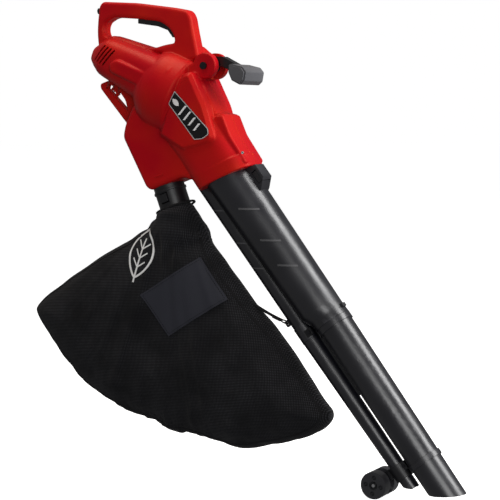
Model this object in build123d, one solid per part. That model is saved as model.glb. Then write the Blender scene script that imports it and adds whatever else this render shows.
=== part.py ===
from build123d import *
import math
import os

# A garden leaf blower and vacuum in its working posture, nozzle forward and down.
# Millimetres. +Z is up, +X is forward, +Y is the tool's left. Origin: centre of the main grip.

# ---- driving dimensions -------------------------------------------------------------------
WALL = 2.8              # moulded wall of the motor housing
GAP = 0.3               # running gap between moulded pieces on different bodies
GRIP_HALF = 15.0        # half width of the handle loop

MOTOR_TILT = 23.0       # motor shaft, degrees nose down
FAN_X, FAN_Z = 116.0, -171.0
FAN_HALF, FAN_TALL = 63.0, 80.0     # half width and half height of the egg-shaped scroll
FAN_DROP = 12.0         # the scroll's centre lies this far below the shaft
FAN_FRONT, FAN_BACK = -25.0, -66.0  # its front and back along the shaft
IMPELLER_R = 54.0
SHAFT_R = 4.0
SHAFT_BORE = SHAFT_R + 0.03

TUBE_TILT = 51.0        # suction tube, degrees nose down
TUBE_X, TUBE_Z = 230.4, -366.7
TUBE_WALL = 2.5
REAR_R0, REAR_R1 = 45.5, 40.5       # rear suction tube, top and bottom outside radius
FRONT_R0, FRONT_R1 = 33.0, 31.0     # front suction tube, top and bottom outside radius
BLOW_DROP = 52.0        # the blower tube lies this far below the suction tube
BLOW_R0, BLOW_R1 = 17.0, 13.5       # blower tube, top and bottom outside radius
JOINT_S = 268.0         # the two tubes meet this far down the rear tube
RING_S = 586.0          # collar above the nozzle
JOINT_RISE = 5.8        # at their joint the front tube's centre line lies this far above the rear one's

MOUTH_TILT = 65.7       # normal of the housing's lower mouth
MOUTH_X, MOUTH_Z = 193.0, -321.0
MOUTH_WIDE, MOUTH_HIGH = 101.0, 124.0
MOUTH_PLATE = 12.0

PIVOT_X, PIVOT_Z = 149.4, -108.4    # auxiliary handle pivot
EAR_OUT, EAR_IN = 27.0, 13.5        # outer and inner faces of the two ears
EAR_R = 25.0
HUB_R = 13.0            # hub of the auxiliary handle between the ears

CONNECT_TILT = 69.0     # bag connector pipe
CONNECT_X, CONNECT_Z = 52.0, -339.0
CONNECT_R = 30.5
CONNECT_LONG = 58.0

WHEEL_S, WHEEL_DROP = 569.0, 101.0  # wheel axle in the tube's own frame
WHEEL_R, WHEEL_WIDE = 25.0, 21.0
WHEEL_IN = 8.5                      # inner face of each wheel from the middle plane
AXLE_R = 3.0

OUTLET_HALF = 36.0      # half width of the duct that leads to the bag
HANGER_HALF = 9.0       # half width of the loop that holds the cord
SCREW_R = 1.6           # shell screws
TRIGGER_X, TRIGGER_Z = 58.0, -22.0  # trigger pivot
GLAND_Z = 4.5           # height of the cord inlet at the back of the grip

MOTOR = Location((FAN_X, 0, FAN_Z), (0, MOTOR_TILT, 0))
TUBE = Location((TUBE_X, 0, TUBE_Z), (0, TUBE_TILT, 0))
MOUTH = Location((MOUTH_X, 0, MOUTH_Z), (0, MOUTH_TILT, 0))
CONNECT = Location((CONNECT_X, 0, CONNECT_Z), (0, CONNECT_TILT, 0))


# ---- helpers: x runs along the part's own axis ----------------------------------------------
def rod(x0, x1, r, z=0.0, y=0.0):
    """Cylinder along x."""
    return Location(((x0 + x1) / 2, y, z), (0, 90, 0)) * Cylinder(r, abs(x1 - x0))


def cone(x0, x1, r0, r1, z0=0.0, z1=None):
    """Round taper along x; its centre line may drift from z0 to z1."""
    z1 = z0 if z1 is None else z1
    start = Plane((x0, 0, z0), x_dir=(0, 1, 0), z_dir=(1, 0, 0)) * Circle(r0)
    end = Plane((x1, 0, z1), x_dir=(0, 1, 0), z_dir=(1, 0, 0)) * Circle(r1)
    return loft([start, end], ruled=True)


def pin(x, z, y0, y1, r):
    """Cylinder along y."""
    return Location((x, (y0 + y1) / 2, z), (90, 0, 0)) * Cylinder(r, abs(y1 - y0))


def block(x0, x1, y0, y1, z0, z1):
    """Box between two corners."""
    centre = ((x0 + x1) / 2, (y0 + y1) / 2, (z0 + z1) / 2)
    return Location(centre) * Box(abs(x1 - x0), abs(y1 - y0), abs(z1 - z0))


def outline(points, radius=0.0):
    """Closed flat outline in x and z, with its corners rounded."""
    face = make_face(Polyline(*points, close=True))
    return fillet(face.vertices(), radius) if radius else face


def plate(face, y0, y1):
    """An outline given thickness from y0 to y1."""
    low, high = min(y0, y1), max(y0, y1)
    return extrude(Plane.XZ.offset(-high) * face, high - low)


def section(frame, x, z, wide, high, corner):
    """Rounded rectangle across a part's own axis, at distance x."""
    across = Plane((x, 0, z), x_dir=(0, 1, 0), z_dir=(1, 0, 0))
    return frame * (across * RectangleRounded(wide, high, corner))


def screw(x, z, y0, y1, r_head, r_shank):
    """Cross-head screw along y, with its head at y0."""
    toward = 1 if y1 > y0 else -1
    body = pin(x, z, y0, y0 + toward * 3, r_head) + pin(x, z, y0 + toward * 3, y1, r_shank)
    slot = block(x - r_head * 0.6, x + r_head * 0.6, y0, y0 + toward * 1.2, z - 0.5, z + 0.5)
    cross = block(x - 0.5, x + 0.5, y0, y0 + toward * 1.2, z - r_head * 0.6, z + r_head * 0.6)
    return body - slot - cross


# ---- motor housing: outlines in x and z ---------------------------------------------------------
HANDLE_OUT = [(-105, -70), (-108, -39), (-106, -12), (-102, 14), (-94, 22), (-13, 16.5), (72, 4.5),
              (104, -2), (112, -14), (118, -44), (130, -95), (80, -100), (60, -85), (-60, -62)]
HANDLE_IN = [(-68, -9.5), (-88, -20), (-92, -32), (-88, -47), (-66, -45.5), (26, -72), (50, -66),
             (75, -63), (72, -48), (60, -33), (40, -21), (-16, -13.8)]
GRIP_CORE = [(-96, -6), (-93, 15), (-84, 16), (-12, 11), (70, -1), (98, -8), (106, -22), (112, -50),
             (116, -78), (82, -72), (78, -52), (66, -30), (44, -16), (-16, -8.5), (-66, -5)]
HANGER_OUT = [(-70, -128), (-105, -139), (-104, -149), (-38, -222), (-10, -215), (0, -180), (-40, -140)]
HANGER_IN = [(-84, -139), (-59, -155), (-45, -172), (-38, -196), (-90, -146)]
OUTLET = [(-8, -180), (-28, -219), (-34, -244), (20, -341), (30, -347), (104, -320), (128, -326),
          (140, -290), (100, -200), (60, -170)]
FRONT_SPINE = [(118, -104), (140, -100), (160, -96), (142, -131), (156, -157), (175, -197), (194, -200),
               (211, -239), (247, -290), (228, -300), (150, -245), (96, -165), (105, -120)]
SPINE_CORE = [(112, -150), (150, -152), (170, -199), (190, -204), (206, -240), (240, -287), (226, -294),
              (150, -240)]
FAR_WEB = [(100, -66), (119, -70), (130, -79), (155, -97), (150, -125), (100, -125)]
LABEL = [(101, -156), (87, -180), (145, -248), (163, -246), (176, -238), (175, -227)]
# Shell screws: x, z and half of the housing's width there.
SCREWS = [(-98, -56, 15), (116, -90, 15), (-22, -236, 36), (24, -330, 36), (198, -226, 27), (122, -310, 36)]
TRIGGER_SLOT = [(-16, -16), (-14, -8), (40, -12), (62, -22), (84, -50), (80, -66), (70, -64), (50, -30)]


def barrel(grow):
    """Motor barrel, widening towards the fan, with a chamfered rear end."""
    rear = section(MOTOR, -250 - grow, -6, 44 + 2 * grow, 34 + 2 * grow, 10)
    edge = section(MOTOR, -216, 1, 84 + 2 * grow, 78 + 2 * grow, 24)
    front = section(MOTOR, -48, 0, 116 + 2 * grow, 112 + 2 * grow, 40)
    return loft([rear, edge], ruled=True) + loft([edge, front], ruled=True)


def egg(x, grow, size=1.0):
    """Egg-shaped section of the scroll at x along the shaft."""
    across = Plane((x, 0, -FAN_DROP * size), x_dir=(0, 1, 0), z_dir=(1, 0, 0))
    return MOTOR * (across * Ellipse((FAN_HALF + grow) * size, (FAN_TALL + grow) * size))


def fan_case(grow):
    """Scroll round the fan, with a domed back."""
    rim = loft([egg(FAN_BACK - grow, grow), egg(FAN_FRONT + grow, grow)], ruled=True)
    dome = loft([egg(FAN_BACK - 38, grow, 0.74), egg(FAN_BACK - 18, grow, 0.94)], ruled=True)
    dome += loft([egg(FAN_BACK - 18, grow, 0.94), egg(FAN_BACK - grow, grow)], ruled=True)
    return rim + dome


def inlet(grow, end):
    """Duct from the fan's eye to the mouth where the tubes go in."""
    top = section(MOTOR, FAN_FRONT - 9 - 1.4 * grow, -14, 104 + 2 * grow, 132 + 2 * grow, 22)
    low = section(MOUTH, end, 0, MOUTH_WIDE + 2 * grow, MOUTH_HIGH + 2 * grow, 40)
    return loft([top, low], ruled=True)


def handle_loop():
    """Closed grip loop above the motor, its edges eased in three steps."""
    loop = outline(HANDLE_OUT, 8) - outline(HANDLE_IN, 7)
    body = plate(loop, -GRIP_HALF + 4, GRIP_HALF - 4)
    for inset, half in ((1.2, GRIP_HALF - 1.8), (3.6, GRIP_HALF)):
        body += plate(offset(loop, amount=-inset), -half, half)
    return body


def housing_outer():
    body = barrel(0) + fan_case(0) + inlet(0, 0)
    body += MOTOR * block(-228, -60, -15, 15, 10, 46)
    body += plate(outline(OUTLET, 6), -OUTLET_HALF, OUTLET_HALF)
    body += plate(outline(FRONT_SPINE, 3), -EAR_OUT, EAR_OUT)
    body += plate(outline(FAR_WEB, 3), EAR_IN, EAR_OUT)
    body += pin(PIVOT_X, PIVOT_Z, -EAR_OUT, EAR_OUT, EAR_R)
    body += handle_loop()
    body += plate(outline(HANGER_OUT, 4) - outline(HANGER_IN, 4), -HANGER_HALF, HANGER_HALF)
    return body


def housing_cavity():
    """Everything hollow inside the two shells."""
    hollow = barrel(-WALL)
    hollow += loft([egg(FAN_BACK + WALL, -WALL), egg(FAN_FRONT - WALL, -WALL)], ruled=True)
    hollow += inlet(-WALL, -MOUTH_PLATE)
    hollow += plate(offset(outline(OUTLET, 6), amount=-WALL), -OUTLET_HALF + WALL, OUTLET_HALF - WALL)
    hollow += plate(outline(GRIP_CORE, 3), -GRIP_HALF + WALL, GRIP_HALF - WALL)
    hollow += plate(outline(SPINE_CORE, 2), -EAR_OUT + WALL, EAR_OUT - WALL)
    for x, z, half in SCREWS:
        hollow -= pin(x, z, -half, half, 5.5)
    return hollow


def tube_pack(s0, s1, grow):
    """Solid outer shape of the suction and blower tubes together, above their joint."""
    taper = (REAR_R1 - REAR_R0) / (JOINT_S - 18)
    suction = cone(s0, s1, REAR_R0 + taper * s0 + grow, REAR_R0 + taper * s1 + grow)
    blower = rod(s0, s1, BLOW_R0 + grow, -BLOW_DROP)
    return suction, blower


def housing_cuts():
    """Openings through the shells."""
    cuts = plate(outline(TRIGGER_SLOT), -6.5, 6.5)
    cuts += pin(PIVOT_X, PIVOT_Z, -EAR_IN, EAR_IN, HUB_R + 1)
    cuts += block(PIVOT_X - 3, 200, -EAR_IN, EAR_IN, -136, -70)
    cuts += block(PIVOT_X - 9, 200, -EAR_IN, EAR_IN, -104, -70)
    cuts += pin(PIVOT_X, PIVOT_Z, -EAR_OUT - 1, EAR_OUT + 1, 4.1)
    cuts += pin(132, -88, EAR_IN - 1, EAR_OUT + 1, 2.6)
    suction, blower = tube_pack(-130, -40, 0.2)
    cuts += TUBE * (suction + blower)
    cuts += CONNECT * rod(-18, 30, CONNECT_R + 0.4)
    for i in range(4):
        cuts += MOTOR * (Location((-219 + i * 8.8, 0, 7), (0, 23, 0)) * block(-2, 2, -60, 60, -20, 20))
    for i in range(3):
        cuts += MOTOR * block(-200 + i * 14, -195 + i * 14, -12, 12, -60, -20)
    cuts += rod(-110, -94, 4.5, GLAND_Z)
    for x, z, half in SCREWS:
        cuts += pin(x, z, -half + 3, half + 1, SCREW_R + 0.02)
        cuts += pin(x, z, half - 4, half + 1, 2 * SCREW_R + 0.2)
    return cuts


def housing_halves():
    body = housing_outer() - housing_cavity() - housing_cuts()
    right = body & block(-400, 400, -200, 0, -500, 200)
    left = body & block(-400, 400, 0.05, 200, -500, 200)
    return right, left


# ---- motor and fan: x runs forward along the shaft, x = 0 at the fan housing's front -------------
def bearing(x0, x1, r_out, r_in):
    """Ball bearing drawn as its two rings and a sealed middle."""
    body = rod(x0, x1, r_out) - rod(x0 - 1, x1 + 1, r_in)
    groove = rod(x0 - 1, x0 + 0.5, r_out - 2) - rod(x0 - 2, x0 + 1, r_in + 2)
    return body - groove


def motor_parts():
    field = rod(-128, -84, 37) - rod(-129, -83, 25)
    field -= block(-130, -80, 30, 40, -40, 40) + block(-130, -80, -40, -30, -40, 40)
    coils = (rod(-136, -76, 34) - rod(-137, -75, 26) - rod(-128.1, -83.9, 40))
    coils -= block(-140, -70, -24, 24, -40, 40)
    armature = rod(-127, -85, 24.2) - rod(-130, -80, SHAFT_BORE)
    for i in range(12):
        spot = Rotation(i * 30, 0, 0)
        armature -= spot * block(-130, -80, -1.2, 1.2, 18, 30)
    winding = rod(-140, -127.1, 20) + rod(-84.9, -76, 20)
    winding -= rod(-150, -60, SHAFT_BORE)
    commutator = rod(-166, -146, 12) - rod(-170, -140, SHAFT_BORE)
    shaft = rod(-196, -23.5, SHAFT_R)
    shield = rod(-66, -62.7, 50) + rod(-74, -66, 17) - rod(-80, -60, 9) - rod(-72.1, -60, 13.0)
    for i in range(6):
        shield -= Rotation(i * 60 + 30, 0, 0) * (Pos(-64, 0, 33) * block(-5, 5, -8, 8, -9, 9))
    front_bearing = bearing(-72, -63, 13.0, SHAFT_BORE)
    rear_bearing = bearing(-194, -186, 9.5, SHAFT_BORE)
    holder = block(-196, -184, -32, 32, -9, 9) + rod(-196, -184, 14)
    holder -= rod(-194.1, -180, 9.5) + rod(-200, -180, 5.5)
    brush_box = block(-162, -150, 13, 29, -6, 6) - block(-160.5, -151.5, 12, 27.5, -4, 4)
    brush = block(-160.3, -151.7, 12.2, 24, -3.8, 3.8)
    return {
        "field_stator": [MOTOR * field],
        "field_windings": [MOTOR * coils],
        "armature_core": [MOTOR * armature],
        "armature_windings": [MOTOR * winding],
        "commutator": [MOTOR * commutator],
        "motor_shaft": [MOTOR * shaft],
        "motor_end_shield": [MOTOR * shield],
        "front_bearing": [MOTOR * front_bearing],
        "rear_bearing": [MOTOR * rear_bearing],
        "rear_bearing_holder": [MOTOR * holder],
        "brush_holders": [MOTOR * brush_box, MOTOR * mirror(brush_box, Plane.XZ)],
        "carbon_brushes": [MOTOR * brush, MOTOR * mirror(brush, Plane.XZ)],
    }


def impeller():
    """Radial mulching wheel: back plate, hub and curved blades."""
    wheel = rod(-60, -57, IMPELLER_R) + rod(-60, -33, 12)
    tip = IMPELLER_R - 2
    blade = make_face(Polyline((11, -2), (34, 4), (tip, 14), (tip - 1, 16.5), (32, 7), (11, 1.5), close=True))
    for i in range(9):
        wheel += Rotation(i * 40, 0, 0) * extrude(Plane.YZ.offset(-57) * blade, 24)
    return wheel - rod(-70, 0, SHAFT_BORE)


def fan_parts():
    nut = extrude(Plane.YZ.offset(-33) * RegularPolygon(8, 6), 6) - rod(-35, -20, SHAFT_BORE)
    front = FAN_FRONT - WALL - 0.2
    plate_ring = loft([egg(front - 2.6, -WALL - 0.3), egg(front, -WALL - 0.3)], ruled=True)
    return {
        "impeller": [MOTOR * impeller()],
        "impeller_nut": [MOTOR * nut],
        "fan_inlet_plate": [plate_ring - MOTOR * rod(front - 5, front + 5, 38)],
    }


# ---- handle controls ------------------------------------------------------------------------------
LEVER = [(-14, -14.5), (-14, -23), (33, -30), (55, -38), (66, -52), (73, -51), (64, -34), (52, -24),
         (40, -16), (30, -12)]
LEVER_ROOT = [(52, -25), (66, -25), (62, -34), (52, -34)]


def control_parts():
    hinge = pin(TRIGGER_X, TRIGGER_Z, -6, 6, 4.5)
    trigger = plate(outline(LEVER, 1.5), -6, 6) + plate(outline(LEVER_ROOT), -6, 6) + hinge
    trigger -= pin(TRIGGER_X, TRIGGER_Z, -7, 7, 2.05)
    trigger_pin = pin(TRIGGER_X, TRIGGER_Z, -GRIP_HALF + WALL, GRIP_HALF - WALL, 2)
    switch = block(-4, 34, -9, 9, -7.8, 2.5) + block(0, 8, -4, 4, -10.2, -7.8)
    gland = rod(-112, -106.2, 6, GLAND_Z) + rod(-106.2, -94, 4.4, GLAND_Z) + rod(-92.6, -90.2, 6, GLAND_Z)
    gland -= rod(-116, -90, 3.4, GLAND_Z)
    return {
        "trigger": [trigger],
        "trigger_pin": [trigger_pin],
        "power_switch": [switch],
        "label_plate": [plate(outline(LABEL, 1.5), -54.2, -52.6)],
        "cord_gland": [gland],
        "cord_clamp": [block(-82, -72, -9, 9, 8, 12)],
        "suppression_capacitor": [rod(50, 74, 7, -9)],
    }


# ---- auxiliary handle -------------------------------------------------------------------------------
AUX_ARM = [(150, -100), (163, -91), (180, -91), (214, -108), (222, -126), (206, -124), (178, -108),
           (158, -112)]
AUX_GRIP = [(209, -105), (238, -112), (246, -121), (243, -138), (234, -146), (215, -137), (208, -122)]
KNOB_R = 12.0


def aux_parts():
    hub = pin(PIVOT_X, PIVOT_Z, -EAR_IN + GAP, EAR_IN - GAP, HUB_R)
    arm = plate(outline(AUX_ARM, 3), -10, 10)
    bolt_hole = pin(PIVOT_X, PIVOT_Z, -40, 40, 4.1)
    grip_face = outline(AUX_GRIP, 5)
    grip = plate(grip_face, -34, 34) + plate(offset(grip_face, amount=-3), -38, 38)
    grip -= plate(outline(AUX_ARM, 3), -10.05, 10.05)
    bolt = pin(PIVOT_X, PIVOT_Z, -EAR_OUT - 1, EAR_OUT + 12, 3.9)
    bolt += pin(PIVOT_X, PIVOT_Z, -EAR_OUT - 3.5, -EAR_OUT - 0.1, 7)
    knob = pin(PIVOT_X, PIVOT_Z, EAR_OUT + GAP, EAR_OUT + 14, KNOB_R)
    for i in range(8):
        a = math.radians(i * 45)
        flute_x, flute_z = PIVOT_X + (KNOB_R + 2) * math.cos(a), PIVOT_Z + (KNOB_R + 2) * math.sin(a)
        knob -= pin(flute_x, flute_z, EAR_OUT, EAR_OUT + 20, 3)
    knob -= pin(PIVOT_X, PIVOT_Z, EAR_OUT, EAR_OUT + 12.2, 3.95)
    return {
        "aux_handle_arm": [hub + arm - bolt_hole],
        "aux_handle_grip": [grip],
        "aux_pivot_bolt": [bolt],
        "aux_clamp_knob": [knob],
    }


# ---- tubes: x runs down the suction tube from the housing's mouth -----------------------------------
BOSS = [(-70, 30), (-70, 65), (-41, 65), (-13, 65), (2, 47), (10, 30)]
SOCKET_R = FRONT_R0 + 0.4       # bore that takes the front tube
LIP_R = FRONT_R0 + 3.2          # outside of the rear tube's lip


def drift(s):
    """Height of the front suction tube's centre line at distance s."""
    return 6.5 - 6.0 * (s - JOINT_S) / (RING_S - JOINT_S)


def front_r(s):
    """Outside radius of the front suction tube at distance s."""
    return FRONT_R0 + (FRONT_R1 - FRONT_R0) * (s - JOINT_S) / (RING_S - JOINT_S)


def rear_tube():
    """Suction and blower channels in one moulding, with the release boss on top and a lip below."""
    start, shoulder, lip = -88, JOINT_S - 18, JOINT_S + 14
    suction, blower = tube_pack(start, shoulder, 0)
    body = suction + blower
    body += cone(shoulder, JOINT_S, REAR_R1, LIP_R, 0, 4.5)
    body += cone(JOINT_S, lip, LIP_R, LIP_R - 0.2, 4.5, 5.5)
    body += rod(shoulder, lip, BLOW_R0 + 1, -BLOW_DROP)
    body += plate(outline(BOSS), -16, 16) - TUBE.inverse() * (MOUTH * block(-400, 0.3, -200, 200, -300, 300))
    suction_bore, blower_bore = tube_pack(start - 1, shoulder + 0.1, -TUBE_WALL)
    body -= suction_bore
    body -= cone(shoulder - 0.1, JOINT_S - 12, REAR_R1 - TUBE_WALL, FRONT_R0 - 1.6, 0, JOINT_RISE)
    body -= rod(JOINT_S - 14, lip + 1, SOCKET_R, JOINT_RISE)
    body -= blower_bore - tube_pack(start - 1, shoulder + 1, 0.6)[0]
    body -= rod(shoulder, lip + 1, BLOW_R0 - TUBE_WALL + 1, -BLOW_DROP)
    body -= block(-34, -8, -20, 13, 48, 60)
    body -= block(JOINT_S - 3, JOINT_S + 5, -7, 7, 30, 60)
    body += block(224, 236, -3, 3, -78, -66) - pin(230, -74, -4, 4, 2.6)
    return TUBE * body


def front_tube():
    """Lower suction and blower tubes, which plug into the rear tube and are tied by a web."""
    start, step, end = JOINT_S - 12, JOINT_S + 14.4, RING_S - 6
    skin = cone(step, end, front_r(step) + 0.5, front_r(end), drift(step), drift(end))
    skin += rod(start, step + 0.6, FRONT_R0, JOINT_RISE)
    skin += rod(step, step + 11.6, FRONT_R0 + 2.6, JOINT_RISE + 0.2)
    bore = cone(start - 1, end + 1, FRONT_R0 - TUBE_WALL, front_r(end) - TUBE_WALL, JOINT_RISE, drift(end))
    blower = cone(step, 614, BLOW_R0 + 0.4, BLOW_R1, -BLOW_DROP, -BLOW_DROP)
    blower += rod(start, step + 0.6, BLOW_R0 - 2, -BLOW_DROP)
    blow_bore = cone(start - 1, 640, BLOW_R0 - 4, BLOW_R1 - 2, -BLOW_DROP, -BLOW_DROP)
    web = block(step, 420, -1.2, 1.2, -38, -24)
    body = skin + web + blower - bore - blow_bore
    body -= block(JOINT_S - 3, JOINT_S + 5, -7, 7, 36, 60)
    level_cut = block(420, 620, -60, 60, -1000, -874)
    return TUBE * body - level_cut


def nozzle():
    """Bent suction nozzle with its collar, cut off close to level."""
    start, end = RING_S - 20, RING_S + 114
    skin = cone(RING_S + 2, end, front_r(RING_S) - 0.6, 29.2, drift(RING_S), -1.2)
    collar = rod(RING_S - 6 + GAP, RING_S + 4, FRONT_R1 + 2, 0.8)
    plug = rod(start, RING_S - 5, FRONT_R1 - TUBE_WALL - 0.6, 0.8)
    bore = cone(start - 1, end + 1, FRONT_R1 - 2 * TUBE_WALL, 26.8, 0.8, -1.2)
    mouth_cut = Location((642, 0, -877), (0, -6, 0)) * block(-200, 200, -100, 100, -200, 0)
    return TUBE * (skin + collar + plug - bore) - mouth_cut


def tube_parts():
    button = block(-33, -9, -15, 8, 48.4, 59.6)
    catch = block(JOINT_S - 2.6, JOINT_S + 4.6, -6.6, 6.6, 38, 45)
    clip = block(JOINT_S - 2, JOINT_S + 12, -24, -19.4, -44, -30) - pin(JOINT_S + 5, -37, -30, -10, 2.05)
    clip_screw = pin(JOINT_S + 5, -37, -26, -24.05, 4.2) + pin(JOINT_S + 5, -37, -24.1, -19.5, 2)
    return {
        "rear_tube": [rear_tube()],
        "front_tube": [front_tube()],
        "nozzle": [nozzle()],
        "tube_release_button": [TUBE * button],
        "tube_joint_catch": [TUBE * catch],
        "tube_joint_clip": [TUBE * clip],
        "tube_joint_screw": [TUBE * clip_screw],
    }


# ---- guide wheels -------------------------------------------------------------------------------------
def wheel(side):
    """One wheel, with four round hollows and a hub recess in its outer face. side is -1 or 1."""
    inner, outer = side * WHEEL_IN, side * (WHEEL_IN + WHEEL_WIDE)
    body = pin(WHEEL_S, -WHEEL_DROP, inner, outer, WHEEL_R)
    for i in range(4):
        a = math.radians(i * 90 + 45)
        x, z = WHEEL_S + 15 * math.cos(a), -WHEEL_DROP + 15 * math.sin(a)
        body -= pin(x, z, outer - side * 5, outer + side, 4.2)
    body -= pin(WHEEL_S, -WHEEL_DROP, outer - side * 4, outer + side, 8)
    return body - pin(WHEEL_S, -WHEEL_DROP, inner - side, outer + side, AXLE_R + 0.08)


def wheel_parts():
    x, z = WHEEL_S, -WHEEL_DROP
    saddle_bore = rod(560, 592, BLOW_R1 + 1.1, -BLOW_DROP)
    carrier = rod(562, 590, BLOW_R1 + 4.2, -BLOW_DROP) - saddle_bore
    carrier += block(563, 579, -12, 12, -BLOW_DROP + 12.5, -31.2) - saddle_bore
    carrier += block(x - 9, x + 9, -6, 6, z, -BLOW_DROP - BLOW_R1 - 2)
    carrier += pin(x, z, -6.5, 6.5, 10)
    carrier -= pin(x, z, -20, 20, AXLE_R + 0.05)
    nodes = {
        "wheel_carrier": [TUBE * carrier],
        "wheel_axle": [TUBE * pin(x, z, -29, 29, AXLE_R)],
        "wheel_right": [TUBE * wheel(-1)],
        "wheel_left": [TUBE * wheel(1)],
        "axle_caps": [],
        "carrier_screw": [TUBE * pin(571, -35.6, -14, -12.05, 2.8)],
    }
    for side in (-1, 1):
        cap = pin(x, z, side * 25.8, side * 28.4, 6) - pin(x, z, side * 25, side * 30, AXLE_R + 0.02)
        nodes["axle_caps"].append(TUBE * cap)
    return nodes


# ---- bag ------------------------------------------------------------------------------------------------
BAG_EDGE = [(46, -404), (20, -404), (-10, -424), (-40, -448), (-113, -487), (-194, -535), (-258, -578),
            (-268, -598), (-222, -664), (-150, -739), (-84, -777), (30, -806), (172, -830), (240, -834),
            (312, -818), (376, -792), (408, -766), (412, -748), (392, -732), (330, -662), (240, -553),
            (150, -440), (122, -402)]
BAG_MID = (105, -590)
EYE_X, EYE_Z = 317.6, -592.0    # hole of the strap eye under the rear tube
# Layers across the bag: y, and the outline's size there.
BAG_LAYERS = ((-58, 0.74), (-46, 0.88), (-20, 0.98), (20, 0.98), (46, 0.88), (58, 0.74))


def bag():
    """Filled collection bag: the outline swells from thin edges to full thickness in the middle."""
    layers = []
    for y, size in BAG_LAYERS:
        points = [(BAG_MID[0] + (x - BAG_MID[0]) * size, BAG_MID[1] + (z - BAG_MID[1]) * size)
                  for x, z in BAG_EDGE]
        layers.append(Plane.XZ.offset(-y) * make_face(Polyline(*points, close=True)))
    neck = CONNECT * cone(CONNECT_LONG + 0.3, CONNECT_LONG + 60, CONNECT_R + 4, 50)
    return loft(layers, ruled=True) + neck - CONNECT * block(-60, CONNECT_LONG + 0.3, -90, 90, -90, 90)


def bag_parts():
    pipe = rod(-14, CONNECT_LONG, CONNECT_R) - rod(-15, CONNECT_LONG + 1, CONNECT_R - TUBE_WALL)
    pipe += rod(8, 12, CONNECT_R + 2) - rod(7, 13, CONNECT_R - 1)
    pipe -= block(14, 34, -40, -26, -9, 9)
    button = block(16, 32, -CONNECT_R - 2, -CONNECT_R + 3.5, -7.5, 7.5)
    collar = rod(46, 58, CONNECT_R + 4) - rod(45, 59, CONNECT_R + 0.1)
    lean = math.atan2(EYE_Z + 563, 250 - EYE_X)
    swing = Location((EYE_X, 0, EYE_Z), (0, math.degrees(lean), 0))
    hook = swing * (Pos(7.5, 0, 0) * Torus(7.5, 1.3))
    strap = swing * block(17, 62, -6, 6, -1, 1)
    patch = plate(outline([(145, -471), (209, -548), (80, -629), (16, -548)]), -59.6, -58.3)
    return {
        "bag_connector": [CONNECT * pipe],
        "connector_button": [CONNECT * button],
        "bag_collar": [CONNECT * collar],
        "bag": [bag()],
        "bag_patch": [patch],
        "bag_strap": [strap],
        "strap_hook": [hook],
    }


def screw_parts():
    """Shell screws, all driven from the left."""
    screws = [screw(x, z, half - 1, -half + 3.2, 2 * SCREW_R, SCREW_R) for x, z, half in SCREWS]
    return {"housing_screws": screws}


def build():
    right, left = housing_halves()
    nodes = {"housing_right": right.solids(), "housing_left": left.solids()}
    nodes |= screw_parts() | motor_parts() | fan_parts() | control_parts()
    nodes |= aux_parts() | tube_parts() | wheel_parts() | bag_parts()
    return nodes


def write(nodes):
    os.makedirs("parts", exist_ok=True)
    for name, shapes in nodes.items():
        solids = [solid for shape in shapes for solid in shape.solids()]
        whole = Compound(children=solids) if len(solids) > 1 else solids[0]
        export_step(whole, f"parts/{name}.step")


write(build())
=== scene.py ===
import math

import bmesh
import bpy
from mathutils import Matrix, Vector, noise
from mathutils.bvhtree import BVHTree
from mathutils.geometry import delaunay_2d_cdt
from mathutils.kdtree import KDTree


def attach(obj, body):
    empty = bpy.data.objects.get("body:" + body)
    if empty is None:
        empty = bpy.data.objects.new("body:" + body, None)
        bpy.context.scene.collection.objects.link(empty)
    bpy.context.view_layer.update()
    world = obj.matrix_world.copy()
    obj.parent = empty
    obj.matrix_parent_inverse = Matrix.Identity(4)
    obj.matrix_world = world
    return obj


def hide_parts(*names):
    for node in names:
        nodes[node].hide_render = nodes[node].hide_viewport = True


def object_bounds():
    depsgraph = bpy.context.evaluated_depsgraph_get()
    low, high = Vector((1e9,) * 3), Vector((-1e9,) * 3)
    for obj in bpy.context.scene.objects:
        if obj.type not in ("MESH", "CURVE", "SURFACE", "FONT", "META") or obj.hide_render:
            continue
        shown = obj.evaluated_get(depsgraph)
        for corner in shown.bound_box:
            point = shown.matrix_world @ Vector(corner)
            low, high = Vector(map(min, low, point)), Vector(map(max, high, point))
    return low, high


# Looks for the garden blower and vacuum. Outlines, radii and places are given in millimetres in the
# part's frame; to_mesh and plate turn them into metres, which is what a mesh's own vertices are in.

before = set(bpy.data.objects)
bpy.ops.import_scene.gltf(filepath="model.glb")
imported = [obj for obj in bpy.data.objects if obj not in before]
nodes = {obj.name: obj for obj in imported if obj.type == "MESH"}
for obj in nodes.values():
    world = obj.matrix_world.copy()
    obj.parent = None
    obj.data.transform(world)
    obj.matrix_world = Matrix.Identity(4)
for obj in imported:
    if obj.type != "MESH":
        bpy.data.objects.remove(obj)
cad_low, cad_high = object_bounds()
MM = 0.001


# ---- frames along each part's own axis: x runs along the axis ------------------------------------
def axis_frame(x, z, tilt):
    return Matrix.Translation((x, 0, z)) @ Matrix.Rotation(math.radians(tilt), 4, "Y")


MOTOR = axis_frame(116, -171, 23)
TUBE = axis_frame(230.4, -366.7, 51)
MOUTH = axis_frame(193, -321, 65.7)
CONNECT = axis_frame(52, -339, 69)
WORLD = Matrix.Identity(4)


# ---- mesh helpers ----------------------------------------------------------------------------------
def to_mesh(name, points, faces):
    """A linked object from points in millimetres."""
    mesh = bpy.data.meshes.new(name)
    mesh.from_pydata([Vector(p) * MM for p in points], [], faces)
    obj = bpy.data.objects.new(name, mesh)
    bpy.context.scene.collection.objects.link(obj)
    return obj


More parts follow.
